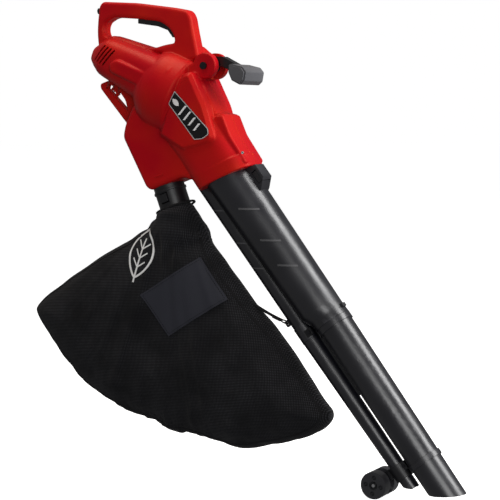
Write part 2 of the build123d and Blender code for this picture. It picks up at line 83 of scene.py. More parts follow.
def ring(place, x, half_y, half_z, z=0.0, power=2.0, count=72):
    """Superellipse across a part's axis; power 2 is an ellipse, more is squarer."""
    points = []
    for i in range(count):
        a = 2 * math.pi * i / count
        c, s = math.cos(a), math.sin(a)
        across = math.copysign(abs(c) ** (2 / power), c)
        up = math.copysign(abs(s) ** (2 / power), s)
        points.append(place @ Vector((x, half_y * across, z + half_z * up)))
    return points


def skin(name, rings, closed=False):
    """Quads between rings of equal count, with flat ends unless the last ring joins the first."""
    count = len(rings[0])
    points = [p for r in rings for p in r]
    faces = []
    last = len(rings) if closed else len(rings) - 1
    for k in range(last):
        a, b = k * count, (k + 1) % len(rings) * count
        for i in range(count):
            j = (i + 1) % count
            faces.append((a + i, a + j, b + j, b + i))
    if not closed:
        faces.append(tuple(reversed(range(count))))
        faces.append(tuple(range((len(rings) - 1) * count, len(rings) * count)))
    obj = to_mesh(name, points, faces)
    fix_normals(obj)
    return obj


def fix_normals(obj):
    b = bmesh.new()
    b.from_mesh(obj.data)
    bmesh.ops.remove_doubles(b, verts=b.verts, dist=1e-6)
    bmesh.ops.recalc_face_normals(b, faces=b.faces)
    b.to_mesh(obj.data)
    b.free()


def rounded(points, radius, steps=5):
    """Closed outline with each corner replaced by a short curve."""
    result = []
    count = len(points)
    for i, point in enumerate(points):
        p = Vector(point)
        before, after = Vector(points[i - 1]) - p, Vector(points[(i + 1) % count]) - p
        reach = min(radius, before.length * 0.45, after.length * 0.45)
        start, end = p + before.normalized() * reach, p + after.normalized() * reach
        for k in range(steps + 1):
            t = k / steps
            result.append(start * (1 - t) ** 2 + p * 2 * t * (1 - t) + end * t ** 2)
    return result


def inset(points, distance):
    """Closed outline moved inwards by a distance."""
    count = len(points)
    area = sum(points[i - 1][0] * points[i][1] - points[i][0] * points[i - 1][1] for i in range(count))
    turn = 1 if area > 0 else -1
    moved = []
    for i in range(count):
        p = Vector(points[i])
        a = (p - Vector(points[i - 1])).normalized()
        b = (Vector(points[(i + 1) % count]) - p).normalized()
        na, nb = Vector((-a.y, a.x)) * turn, Vector((-b.y, b.x)) * turn
        moved.append(p + (na + nb) * distance / (1 + na.dot(nb)))
    return moved


def plate(name, outlines, y0, y1, bevel=0.0, place=WORLD, round_steps=3):
    """Flat outlines in x and z given thickness from y0 to y1, with eased edges; inner outlines make holes."""
    curve = bpy.data.curves.new(name, "CURVE")
    curve.dimensions = "2D"
    curve.fill_mode = "BOTH"
    for points in outlines:
        spline = curve.splines.new("POLY")
        spline.points.add(len(points) - 1)
        for target, p in zip(spline.points, points):
            target.co = (p[0] * MM, p[1] * MM, 0, 1)
        spline.use_cyclic_u = True
    curve.extrude = (abs(y1 - y0) / 2 - bevel) * MM
    curve.bevel_depth = bevel * MM
    curve.bevel_resolution = round_steps
    curve.offset = -bevel * MM
    source = bpy.data.objects.new(name, curve)
    bpy.context.scene.collection.objects.link(source)
    mesh = bpy.data.meshes.new_from_object(source.evaluated_get(bpy.context.evaluated_depsgraph_get()))
    bpy.data.objects.remove(source)
    upright = Matrix.Translation((0, (y0 + y1) / 2 * MM, 0)) @ Matrix.Rotation(math.pi / 2, 4, "X")
    moved = Matrix(place)
    moved.translation = moved.translation * MM
    mesh.transform(moved @ upright)
    obj = bpy.data.objects.new(name, mesh)
    bpy.context.scene.collection.objects.link(obj)
    fix_normals(obj)
    return obj


def disc(name, x, z, y0, y1, radius, ease=0.0, count=64):
    """Round plate about y."""
    circle = [(x + radius * math.cos(2 * math.pi * i / count), z + radius * math.sin(2 * math.pi * i / count))
              for i in range(count)]
    return plate(name, [circle], y0, y1, ease)


def box(name, x0, x1, y0, y1, z0, z1):
    return plate(name, [[(x0, z0), (x1, z0), (x1, z1), (x0, z1)]], y0, y1)


def join(name, objects):
    b = bmesh.new()
    for obj in objects:
        b.from_mesh(obj.data)
        bpy.data.objects.remove(obj)
    mesh = bpy.data.meshes.new(name)
    b.to_mesh(mesh)
    b.free()
    made = bpy.data.objects.new(name, mesh)
    bpy.context.scene.collection.objects.link(made)
    return made


def bake_modifiers(obj):
    """Replaces an object's mesh with what its modifiers make of it."""
    mesh = bpy.data.meshes.new_from_object(obj.evaluated_get(bpy.context.evaluated_depsgraph_get()))
    obj.modifiers.clear()
    obj.data = mesh
    return obj


def fuse(obj, voxel, passes):
    """One skin round overlapping solids, with its corners melted like moulded plastic."""
    remesh = obj.modifiers.new("fuse", "REMESH")
    remesh.mode = "VOXEL"
    remesh.voxel_size = voxel * MM
    melt = obj.modifiers.new("melt", "SMOOTH")
    melt.factor = 0.5
    melt.iterations = passes
    return bake_modifiers(obj)


def cut(obj, tools):
    """Takes the tools' volume out of obj."""
    tool = join("tool", tools)
    boolean = obj.modifiers.new("cut", "BOOLEAN")
    boolean.operation = "DIFFERENCE"
    boolean.solver = "EXACT"
    boolean.use_self = False
    boolean.object = tool
    bake_modifiers(obj)
    bpy.data.objects.remove(tool)
    return obj


def shade(obj, angle=35):
    obj.data.shade_smooth()
    obj.data.set_sharp_from_angle(angle=math.radians(angle))


def swept(name, points, half_wide, half_thick, sides=4, closed=False, across=(0, 1, 0)):
    """A flat strip (4 sides) or a round pipe along a path; its thin way lies along across."""
    thin = Vector(across)
    rings = []
    count = len(points)
    for i, p in enumerate(points):
        ahead = points[(i + 1) % count] if closed or i + 1 < count else p
        behind = points[i - 1] if closed or i else p
        wide = (Vector(ahead) - Vector(behind)).cross(thin).normalized()
        row = []
        for k in range(sides):
            a = 2 * math.pi * (k + 0.5) / sides
            reach = math.sqrt(2) if sides == 4 else 1
            row.append(Vector(p) + wide * half_wide * reach * math.cos(a)
                       + thin * half_thick * reach * math.sin(a))
        rings.append(row)
    return skin(name, rings, closed)


def drape(obj, tree, side, lift):
    """Lays a flat piece on the bag's near (-1) or far (1) face."""
    for v in obj.data.vertices:
        hit = tree.ray_cast(Vector((v.co.x, side * 0.3, v.co.z)), Vector((0, -side, 0)))[0]
        if hit:
            v.co.y += hit.y + side * lift * MM
    return obj


def between(a, b, count):
    """Evenly spaced points from a to b."""
    return [Vector(a).lerp(Vector(b), i / (count - 1)) for i in range(count)]


def finished(obj, material, body, replaces=(), angle=35):
    """Gives a new piece its material and body."""
    obj.data.materials.clear()
    obj.data.materials.append(material)
    shade(obj, angle)
    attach(obj, body)
    if replaces:
        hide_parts(*replaces)
    return obj


# ---- materials ----------------------------------------------------------------------------------------
class Look:
    """A node material built up step by step round one Principled shader."""

    def __init__(self, name, colour, rough, metal=0.0, **sockets):
        self.material = bpy.data.materials.new(name)
        self.material.use_nodes = True
        self.tree = self.material.node_tree
        self.shader = self.tree.nodes["Principled BSDF"]
        self.shader.inputs["Base Color"].default_value = (*colour, 1)
        self.shader.inputs["Roughness"].default_value = rough
        self.shader.inputs["Metallic"].default_value = metal
        for socket, value in sockets.items():
            self.shader.inputs[socket.replace("_", " ")].default_value = value
        self.place = self.node("ShaderNodeTexCoord").outputs["Object"]
        self.normal = None

    def node(self, kind, **values):
        made = self.tree.nodes.new(kind)
        for key, value in values.items():
            setattr(made, key, value)
        return made

    def link(self, a, b):
        self.tree.links.new(a, b)

    def noise(self, scale, detail=3.0, stretch=None):
        made = self.node("ShaderNodeTexNoise")
        made.inputs["Scale"].default_value = scale
        made.inputs["Detail"].default_value = detail
        place = self.place
        if stretch:
            mapping = self.node("ShaderNodeMapping")
            mapping.inputs["Rotation"].default_value = stretch[0]
            mapping.inputs["Scale"].default_value = stretch[1]
            self.link(place, mapping.inputs["Vector"])
            place = mapping.outputs["Vector"]
        self.link(place, made.inputs["Vector"])
        return made.outputs["Fac"]

    def remap(self, value, low, high, to_low, to_high):
        made = self.node("ShaderNodeMapRange")
        for key, number in (("From Min", low), ("From Max", high), ("To Min", to_low), ("To Max", to_high)):
            made.inputs[key].default_value = number
        self.link(value, made.inputs["Value"])
        return made.outputs["Result"]

    def rough(self, value):
        self.link(value, self.shader.inputs["Roughness"])

    def bump(self, height, strength, distance):
        made = self.node("ShaderNodeBump")
        made.inputs["Strength"].default_value = strength
        made.inputs["Distance"].default_value = distance
        self.link(height, made.inputs["Height"])
        if self.normal:
            self.link(self.normal, made.inputs["Normal"])
        self.normal = made.outputs["Normal"]
        self.link(self.normal, self.shader.inputs["Normal"])

    def two_tone(self, value, dark, light):
        mix = self.node("ShaderNodeMix", data_type="RGBA")
        mix.inputs[6].default_value = (*dark, 1)
        mix.inputs[7].default_value = (*light, 1)
        self.link(value, mix.inputs[0])
        self.link(mix.outputs[2], self.shader.inputs["Base Color"])
        return mix

    def highlight_and_wear_edges(self, mix, colour, low=0.53, high=0.62, share=0.5):
        """Edges paler, over what the mix gives: partly rubbed wear, partly a painted highlight along the
        edges.
        """
        point = self.node("ShaderNodeNewGeometry").outputs["Pointiness"]
        edge = self.remap(point, low, high, 0.0, share)
        edge_highlight_and_wear = self.node("ShaderNodeMix", data_type="RGBA")
        edge_highlight_and_wear.inputs[7].default_value = (*colour, 1)
        self.link(edge, edge_highlight_and_wear.inputs[0])
        self.link(mix.outputs[2], edge_highlight_and_wear.inputs[6])
        self.link(edge_highlight_and_wear.outputs[2], self.shader.inputs["Base Color"])


def plastic(name, dark, light, edge_highlight_and_wear, rough, grain=2600, grain_depth=0.00004, spread=0.06, **sockets):
    """Moulded plastic: fine spark-eroded grain, slow sheen changes, faint handling marks, paler edges that
    are partly a painted highlight.
    """
    look = Look(name, dark, rough, **sockets)
    look.rough(look.remap(look.noise(14), 0.3, 0.7, rough - spread, rough + spread))
    mix = look.two_tone(look.remap(look.noise(9, 2), 0.35, 0.65, 0, 1), dark, light)
    # Paler edges from pointiness: partly rubbed wear, partly a painted highlight where edges catch the light.
    look.highlight_and_wear_edges(mix, edge_highlight_and_wear)
    look.bump(look.noise(grain, 2), 0.35, grain_depth)
    marks = look.noise(60, 4, ((0, math.radians(40), 0), (1, 1, 14)))
    look.bump(look.remap(marks, 0.62, 0.75, 0, 1), 0.12, 0.00003)
    return look.material


def metal(name, colour, rough, brushed=0.00003):
    look = Look(name, colour, rough, 1.0)
    look.rough(look.remap(look.noise(120), 0.3, 0.7, rough * 0.75, rough * 1.25))
    look.bump(look.noise(700, 3, ((0, 0, 0), (1, 12, 1))), 0.3, brushed)
    return look.material


def woven(name, dark, light, thread, depth, rough=0.85, tilt=0.0, **sockets):
    """Plain weave from crossed bands; thread is its repeat in metres."""
    look = Look(name, dark, rough, **sockets)
    mapping = look.node("ShaderNodeMapping")
    mapping.inputs["Rotation"].default_value = (0, math.radians(tilt), 0)
    look.link(look.place, mapping.inputs["Vector"])
    bands = []
    for direction in ("X", "Z"):
        wave = look.node("ShaderNodeTexWave", wave_type="BANDS", bands_direction=direction)
        wave.inputs["Scale"].default_value = 2 * math.pi / (20 * thread)
        wave.inputs["Distortion"].default_value = 0.4
        wave.inputs["Detail"].default_value = 1.0
        wave.inputs["Detail Scale"].default_value = 2.0
        look.link(mapping.outputs["Vector"], wave.inputs["Vector"])
        bands.append(wave.outputs["Fac"])
    weave = look.node("ShaderNodeMath", operation="MULTIPLY")
    look.link(bands[0], weave.inputs[0])
    look.link(bands[1], weave.inputs[1])
    cloudy = look.remap(look.noise(16, 4), 0.3, 0.7, 0.25, 1.0)
    shown = look.node("ShaderNodeMath", operation="MULTIPLY")
    look.link(weave.outputs[0], shown.inputs[0])
    look.link(cloudy, shown.inputs[1])
    look.two_tone(shown.outputs[0], dark, light)
    look.bump(weave.outputs[0], 0.6, depth)
    look.bump(look.noise(90, 4), 0.25, 0.0006)
    return look.material


# The red's orange edge colour is a painted highlight: edges coloured as if catching the light.
RED = plastic("red_housing", (0.44, 0.0010, 0.0090), (0.52, 0.0090, 0.0070), (0.74, 0.09, 0.02), 0.42,
              Specular_IOR_Level=0.24, Specular_Tint=(1.0, 0.50, 0.25, 1))
BLACK = plastic("black_plastic", (0.004, 0.004, 0.005), (0.008, 0.008, 0.010), (0.04, 0.04, 0.045), 0.40)
TUBE_BLACK = plastic("tube_plastic", (0.003, 0.003, 0.006), (0.006, 0.006, 0.010), (0.05, 0.05, 0.058), 0.34,
                     grain=1500, grain_depth=0.00003, Specular_IOR_Level=0.9)
GRIP_GREY = plastic("grip_plastic", (0.085, 0.085, 0.093), (0.115, 0.115, 0.125), (0.24, 0.24, 0.25), 0.33)
WHEEL_BLACK = plastic("wheel_plastic", (0.026, 0.026, 0.030), (0.044, 0.044, 0.050), (0.12, 0.12, 0.125),
                      0.40)
LABEL_BLACK = plastic("label_gloss", (0.002, 0.002, 0.002), (0.003, 0.003, 0.004), (0.02, 0.02, 0.02), 0.25)
SILVER = plastic("label_rim", (0.35, 0.35, 0.36), (0.45, 0.45, 0.45), (0.6, 0.6, 0.6), 0.4)
WHITE_PRINT = plastic("white_print", (0.74, 0.74, 0.74), (0.84, 0.84, 0.84), (0.9, 0.9, 0.9), 0.6)
STEEL = metal("bright_steel", (0.62, 0.62, 0.63), 0.3)
DARK_STEEL = metal("blackened_steel", (0.045, 0.045, 0.05), 0.42)
LAMINATED = metal("laminated_steel", (0.32, 0.31, 0.31), 0.5, 0.0001)
COPPER = metal("enamelled_copper", (0.62, 0.25, 0.11), 0.35, 0.0001)
ALLOY = metal("cast_alloy", (0.5, 0.51, 0.52), 0.45, 0.00006)
CARBON = plastic("carbon_block", (0.02, 0.02, 0.02), (0.04, 0.04, 0.04), (0.07, 0.07, 0.07), 0.6)
YELLOW_CASE = plastic("capacitor_case", (0.5, 0.32, 0.03), (0.6, 0.4, 0.05), (0.7, 0.5, 0.1), 0.4)
BAG_CLOTH = woven("bag_cloth", (0.0020, 0.0020, 0.0030), (0.062, 0.062, 0.070), 0.0030, 0.0005, tilt=4,
                  Specular_IOR_Level=0.2, Sheen_Weight=0.05, Sheen_Roughness=0.5)
PATCH_CLOTH = woven("patch_cloth", (0.026, 0.027, 0.037), (0.038, 0.040, 0.054), 0.0011, 0.00008, 0.6, -30,
                    Specular_IOR_Level=0.3)
WEBBING = woven("webbing", (0.004, 0.004, 0.005), (0.02, 0.02, 0.023), 0.0016, 0.0004, Specular_IOR_Level=0.3)


# ---- carried-over nodes get their finish and softened edges --------------------------------------------
FINISHES = (
    (BLACK, ("trigger", "cord_gland", "cord_clamp", "power_switch", "aux_handle_arm", "aux_clamp_knob",
             "bag_connector", "connector_button", "tube_release_button", "tube_joint_catch",
             "tube_joint_clip", "wheel_carrier", "axle_caps", "brush_holders", "motor_end_shield",
             "rear_bearing_holder", "strap_hook")),
    (GRIP_GREY, ("aux_handle_grip",)),
    (TUBE_BLACK, ("rear_tube", "front_tube", "nozzle")),
    (WHEEL_BLACK, ("wheel_right", "wheel_left")),
    (LABEL_BLACK, ("label_plate",)),
    (STEEL, ("housing_screws", "motor_shaft", "front_bearing", "rear_bearing", "trigger_pin", "wheel_axle",
             "impeller_nut")),
    (DARK_STEEL, ("aux_pivot_bolt", "tube_joint_screw", "carrier_screw")),
    (LAMINATED, ("field_stator", "armature_core")),
    (COPPER, ("field_windings", "armature_windings", "commutator")),
    (ALLOY, ("impeller", "fan_inlet_plate")),
    (CARBON, ("carbon_brushes",)),
    (YELLOW_CASE, ("suppression_capacitor",)),
)
SOFTENED = ("trigger", "aux_handle_arm", "aux_handle_grip", "aux_clamp_knob", "bag_connector",
            "connector_button", "tube_release_button", "tube_joint_clip", "wheel_carrier", "wheel_right",
            "wheel_left", "axle_caps", "rear_tube", "front_tube", "nozzle", "cord_gland", "aux_pivot_bolt",
            "label_plate")
EDGE_ROUNDING = {"aux_handle_grip": 2.2, "aux_handle_arm": 1.6, "trigger": 1.2, "wheel_right": 1.4,
                 "wheel_left": 1.4, "wheel_carrier": 0.9, "label_plate": 0.25, "cord_gland": 0.3,
                 "tube_release_button": 0.8, "connector_button": 0.6}
for material, names in FINISHES:
    for name in names:
        for slot in nodes[name].material_slots:
            slot.material = material
for name in SOFTENED:
    obj = nodes[name]
    weld = obj.modifiers.new("weld", "WELD")
    weld.merge_threshold = 0.00001
    soft = obj.modifiers.new("edges", "BEVEL")
    soft.width = EDGE_ROUNDING.get(name, 0.5) * MM
    soft.segments = 2
    soft.limit_method = "ANGLE"
    soft.angle_limit = math.radians(40)
    soft.harden_normals = False
    shape = obj.modifiers.new("normals", "WEIGHTED_NORMAL")
    shape.keep_sharp = False


# ---- housing: one fused skin, then openings, then two shells --------------------------------------------
HANDLE_OUT = [(-105, -70), (-108, -39), (-106, -12), (-102, 14), (-94, 22), (-13, 16.5), (72, 4.5),
              (104, -2), (112, -14), (118, -44), (130, -95), (80, -100), (60, -85), (-60, -62)]
HANDLE_IN = [(-68, -9.5), (-88, -20), (-92, -32), (-88, -47), (-66, -45.5), (26, -72), (50, -66),
             (75, -63), (72, -48), (60, -33), (40, -21), (-16, -13.8)]
HANGER_OUT = [(-70, -128), (-105, -139), (-104, -149), (-38, -222), (-10, -215), (0, -180), (-40, -140)]
HANGER_IN = [(-84, -139), (-59, -155), (-45, -172), (-38, -196), (-90, -146)]
HANGER_HOOK = [(-80, -146), (-70, -148), (-60, -155), (-66, -163), (-71, -163), (-68, -157), (-80, -153)]
OUTLET = [(-8, -180), (-28, -219), (-34, -244), (20, -341), (30, -347), (104, -320), (128, -326),
          (140, -290), (100, -200), (60, -170)]
FRONT_SPINE = [(118, -104), (140, -100), (160, -96), (142, -131), (156, -157), (175, -197), (194, -200),
               (211, -239), (247, -290), (228, -300), (150, -245), (96, -165), (105, -120)]
BOSS = [(176, -203), (194, -201), (211, -239), (247, -289), (229, -301), (196, -296), (170, -240)]
FAR_WEB = [(100, -66), (119, -70), (130, -79), (155, -97), (150, -125), (100, -125)]
SIDE_PANEL = [(133, -119), (166, -183), (186, -244), (178, -254), (152, -262), (116, -270), (62, -240),
              (76, -196), (101, -148), (115, -124)]
SIDE_POD = [(-62, -16), (50, -16), (60, 6), (52, 17), (-58, 13), (-70, -2)]
SCREW_SPOTS = [(-98, -56, 15), (116, -90, 15), (-22, -236, 36), (24, -330, 36), (198, -226, 27),
               (122, -310, 36)]
GROOVE = [(219, -246), (223, -243), (247, -277), (243, -280)]
PIVOT = (149.4, -108.4)


def blend_rings(start, end, steps, pinch=0.0):
    """Rings from start to end in straight steps, drawn in a little in the middle."""
    rings = []
    for k in range(steps + 1):
        t = k / steps
        waist = 1 - pinch * math.sin(math.pi * min(1, max(0, (t - 0.25) / 0.6)))
        row = [a.lerp(b, t) for a, b in zip(start, end)]
        rings.append([Vector((p.x, p.y * waist, p.z)) for p in row])
    return rings


BARREL = [(-250, 17, 14, -6), (-247, 22, 17, -6), (-232, 33, 29, -2), (-216, 42, 39, 1), (-205, 44, 41, 1),
          (-150, 48, 46, 1), (-100, 53, 51, 0), (-48, 58, 56, 0)]
SCROLL = [(-22, 54, 70), (-25, 60, 77), (-29, 63, 80), (-64, 64.5, 80), (-76, 64, 79), (-86, 62, 76),
          (-95, 59, 71), (-104, 54.5, 63), (-112, 49, 54), (-120, 41, 43)]
WALL = 2.8
OUTLET_HALF = 36  # half the outlet's width
VENT_LEAN = 23    # how far each vent leans on the motor barrel


def main_body(wall, first_ring, mouth_plate):
    """Motor barrel, fan scroll and the duct down to the mouth, drawn in by a wall."""
    duct_top = ring(MOTOR, -34, 51 - wall, 66 - wall, -14, 4.2)
    duct_low = ring(MOUTH, -mouth_plate, 50.5 - wall, 62 - wall, 0, 3.0)
    return [
        skin("barrel", [ring(MOTOR, x + wall, hy - wall, hz - wall, z, 3.0)
                        for x, hy, hz, z in BARREL[first_ring:]]),
        skin("scroll", [ring(MOTOR, x, hy - wall, hz - wall, -12) for x, hy, hz in SCROLL[first_ring:]]),
        skin("duct", blend_rings(duct_top, duct_low, 12, 0.07)),
    ]


def housing_solids():
    solids = main_body(0, 0, 0) + [
        skin("mouth_collar", [ring(MOUTH, x, 50.5 + g, 62 + g, 0, 3.0) for x, g in
                              ((-27, -1), (-25, 0.4), (-1.5, 0.4), (0, -0.6))]),
        plate("rail", [rounded([(-228, 10), (-60, 10), (-60, 46), (-222, 44)], 6)], -15, 15, 5, MOTOR),
        plate("outlet", [rounded(OUTLET, 9)], -OUTLET_HALF, OUTLET_HALF, 8),
        plate("spine", [rounded(FRONT_SPINE, 4)], -27, 27, 3.5),
        plate("boss", [rounded(BOSS, 4)], -34, 34, 4),
        plate("web", [rounded(FAR_WEB, 4)], 13.5, 27, 3),
        disc("ears", *PIVOT, -27, 27, 25, 2.5),
        plate("loop", [rounded(HANDLE_OUT, 11), rounded(HANDLE_IN, 10)], -15, 15, 6.5),
        plate("hanger", [rounded(HANGER_OUT, 6), rounded(HANGER_IN, 5)], -9, 9, 3),
        plate("hanger_hook", [rounded(HANGER_HOOK, 3)], -6, 6, 1.5),
    ]
    for side in (-1, 1):
        solids.append(plate("panel", [rounded(SIDE_PANEL, 7)], side * 20, side * 53.2, 7, round_steps=0))
        solids.append(plate("pod", [rounded([(x - 112, z) for x, z in SIDE_POD], 8)],
                            side * 20, side * 55, 5, MOTOR, 1))
    return solids


def housing_tools():
    """Everything cut out after the skin is fused, in lots whose tools do not touch each other."""
    px, pz = PIVOT
    fork_gap = [(px + 2, -134), (204, -134), (204, -70), (px - 9, -70), (px - 9, -96)]
    fork = plate("fork", [fork_gap], -13.45, 13.45)
    tools = [
        disc("hub", px, pz, -13.5, 13.5, 14),
        disc("bolt", px, pz, -30, -13.6, 4.1),
        disc("bolt_far", px, pz, 13.6, 30, 4.1),
        disc("eye", 132, -88, 12, 30, 2.6),
        plate("trigger_slot", [[(-16, -16), (-14, -8), (40, -12), (62, -22), (84, -50), (80, -66), (70, -64),
                                (50, -30)]], -6.6, 6.6),
        plate("groove", [rounded(GROOVE, 1)], -36, -24, 0.5),
        plate("groove_far", [rounded(GROOVE, 1)], 24, 36, 0.5),
    ]
    for side in (-1, 1):
        for i in range(4):
            slot = [(-2, -22), (2, -22), (2, 20), (-2, 20)]
            spot = (MOTOR @ Matrix.Translation((-219 + i * 8.8, 0, 7))
                    @ Matrix.Rotation(math.radians(VENT_LEAN), 4, "Y"))
            tools.append(plate("vent", [rounded(slot, 2)], side * 26, side * 60, 0, spot))
    for i in range(3):
        tools.append(plate("under_vent", [[(-200 + i * 14, -60), (-195 + i * 14, -60), (-195 + i * 14, -34),
                                           (-200 + i * 14, -34)]], -12, 12, 0, MOTOR))
    for x, z, half in SCREW_SPOTS:
        tools.append(disc("screw_well", x, z, half - 4, half + 20, 3.5))
    outlet_room = plate("outlet_room", [rounded(inset(OUTLET, WALL), 6)], -OUTLET_HALF + WALL,
                        OUTLET_HALF - WALL)
    room = fuse(join("room", main_body(WALL, 1, 5) + [outlet_room]), 2.0, 4)
    return [room], [fork], tools


def within(spot, points, edges):
    """Whether a flat point lies inside closed loops given as edges."""
    odd = False
    for i, k in edges:
        p, q = points[i], points[k]
        if (p.y > spot.y) != (q.y > spot.y) and spot.x < p.x + (spot.y - p.y) * (q.x - p.x) / (q.y - p.y):
            odd = not odd
    return odd


def half_shell(name, source, side, groove=0.7):
    """One side of the housing, closed along the middle plane, with a fine groove where the shells meet."""
    b = bmesh.new()
    b.from_mesh(source.data)
    for y, drop in ((side * groove * MM, False), (0, True)):
        bmesh.ops.bisect_plane(b, geom=b.verts[:] + b.edges[:] + b.faces[:], dist=1e-7, plane_co=(0, y, 0),
                               plane_no=(0, -side, 0), clear_outer=drop)
    b.normal_update()
    rim = [e for e in b.edges if e.is_boundary]
    verts = list(dict.fromkeys(v for e in rim for v in e.verts))
    order = {v: i for i, v in enumerate(verts)}
    inward = [Vector((-v.normal.x, 0, -v.normal.z)) for v in verts]
    flat = [Vector((v.co.x, v.co.z)) for v in verts]
    edges = [(order[e.verts[0]], order[e.verts[1]]) for e in rim]
    spots, _, faces, origin, _, _ = delaunay_2d_cdt(flat, edges, [], 0, 1e-9)
    for face in faces:
        if within(sum((spots[k] for k in face), Vector((0, 0))) / 3, flat, edges):
            b.faces.new([verts[origin[k][0]] for k in face])
    bmesh.ops.holes_fill(b, edges=[e for e in b.edges if e.is_boundary], sides=0)
    bmesh.ops.recalc_face_normals(b, faces=b.faces[:])
    for v, way in zip(verts, inward):
        if way.length > 0.3:
            v.co += way.normalized() * groove * MM
    mesh = bpy.data.meshes.new(name)
    b.to_mesh(mesh)
    b.free()
    obj = bpy.data.objects.new(name, mesh)
    bpy.context.scene.collection.objects.link(obj)
    return obj


SKIN_VOXEL, QUICK_VOXEL = 1.4, 1.7
housing = fuse(join("housing", housing_solids()), SKIN_VOXEL, 7)
for tools in housing_tools():
    cut(housing, tools)
for node, side in (("housing_right", -1), ("housing_left", 1)):
    finished(half_shell(node + "_shell", housing, side), RED, "tool", [node], 38)
bpy.data.objects.remove(housing)


# ---- small mouldings and prints on the housing ------------------------------------------------------------
LABEL = [(101, -156), (87, -180), (145, -248), (163, -246), (176, -238), (175, -227)]
RIM_DEPTH = (-54.6, -53.8)    # y of the label rim's front and back
PRINT_DEPTH = (-54.7, -53.9)  # y of the marks' front and back


def leaf_outline(centre, along, long, wide, count=24):
    """Pointed oval, the plain leaf that stands on the label and the bag."""
    run = Vector(along).normalized()
    side = Vector((-run.y, run.x))
    points = []
    for turn in (1, -1):
        for i in range(count):
            t = i / count if turn > 0 else 1 - i / count
            points.append(Vector(centre) + run * (t - 0.5) * long
                          + side * turn * wide / 2 * math.sin(math.pi * t) ** 0.8)
    return points


rim = plate("label_rim", [rounded(LABEL, 2), rounded(inset(LABEL, 1.4), 2)], *RIM_DEPTH)
finished(rim, SILVER, "tool")
prints = [plate("leaf", [leaf_outline((103.5, -177.5), (1, -1), 19, 10)], *PRINT_DEPTH)]
for i in range(4):
    middle = Vector((118.5, -192.5)) + Vector((1, -1)) * 10.5 * i
    half = 8.5 - 0.6 * i
    bar = [middle + Vector(d) for d in
           ((half - 3, half), (half + 2, half), (3 - half, -half), (-2 - half, -half))]
    prints.append(plate("bar", [bar], *PRINT_DEPTH))
finished(join("label_marks", prints), WHITE_PRINT, "tool")

OUTLET_RIB = [(42, -322.5), (62, -316), (63, -313), (42.5, -319.5)]
for tag, side in (("right", -1), ("left", 1)):
    rib = plate("outlet_rib_" + tag, [rounded(OUTLET_RIB, 1)], side * 35, side * 37.2, 0.5)
    finished(rib, RED, "tool")
screw = disc("boss_screw", 238.5, -271.5, -34.6, -33, 2.9, 0.4)
for x0, x1, z0, z1 in ((236.4, 240.6, -272, -271), (238, 239, -273.6, -269.4)):
    cut(screw, [box("slot", x0, x1, -35.2, -34.1, z0, z1)])
finished(screw, STEEL, "tool")


# ---- bag -------------------------------------------------------------------------------------------------
BAG_EDGE = [(46, -404), (20, -404), (-14, -418), (-45, -440), (-118, -479), (-199, -527), (-264, -571),
            (-272, -598), (-222, -664), (-150, -739), (-80, -773), (32, -801), (172, -827), (238, -832),
            (309, -816), (378, -792), (412, -768), (420, -748), (404, -724), (344, -650), (250, -544),
            (156, -436), (118, -405)]
BAG_MID = Vector((105, -590))
BAG_DEEP = 58.0       # half thickness of the filled bag
BAG_SHOULDER = 115.0  # how far in from the edge the bag reaches full thickness
BAG_ROUND = 2.3       # how square the swell is; 2 is a round section
NECK_END = CONNECT @ Vector((58.3, 0, 0)) * MM
PATCH_MID = Vector((112.5, -549.5))
PATCH_ALONG = Vector((-129, -79)).normalized()
PATCH_ACROSS = Vector((64, -77)).normalized()
PATCH_LONG, PATCH_WIDE = 151.0, 100.0


def smooth_outline(points, per_side):
    """Catmull-Rom curve through a closed outline."""
    count = len(points)
    made = []
    for i in range(count):
        p0, p1, p2, p3 = (Vector(points[(i + k) % count]) for k in (-1, 0, 1, 2))
        for k in range(per_side):
            t = k / per_side
            made.append(0.5 * (2 * p1 + (p2 - p0) * t + (2 * p0 - 5 * p1 + 4 * p2 - p3) * t ** 2
                               + (3 * p1 - p0 - 3 * p2 + p3) * t ** 3))
    return made


EDGE = smooth_outline(BAG_EDGE, 18)
edge_tree = KDTree(len(EDGE))
for i, p in enumerate(EDGE):
    edge_tree.insert((p.x, p.y, 0), i)
edge_tree.balance()


def swell(x, z):
    """Half thickness of the bag at a place inside its outline."""
    distance = edge_tree.find((x, z, 0))[2]
    t = min(distance / BAG_SHOULDER, 1.0)
    return BAG_DEEP * (1 - (1 - t) ** BAG_ROUND) ** (1 / BAG_ROUND)


def bag_panel(side, rows=44):
    """Points of one face, from the middle out to the seam."""
    grid = []
    for k in range(1, rows + 1):
        s = 1 - (1 - k / rows) ** 1.7
        row = []
        for p in EDGE:
            q = BAG_MID + (p - BAG_MID) * s
            row.append(Vector((q.x, side * (swell(q.x, q.y) if k < rows else 0.0), q.y)))
        grid.append(row)
    return grid


def bag_solid():
    near, far = bag_panel(-1), bag_panel(1)
    body = skin("bag_body", near + far[-2::-1])
    neck = [(42, 35.5, 36, 0), (45, 38.5, 39, 0), (50, 42, 42, 0), (58, 43, 43, -2), (70, 44, 46, -5),
            (82, 46, 51, -10), (95, 47, 58, -17), (112, 44, 66, -23)]
    sleeve = skin("bag_sleeve", [ring(CONNECT, x, across, high, z) for x, across, high, z in neck])
    return join("bag_shell", [body, sleeve])


bag = fuse(bag_solid(), 4.5, 6)


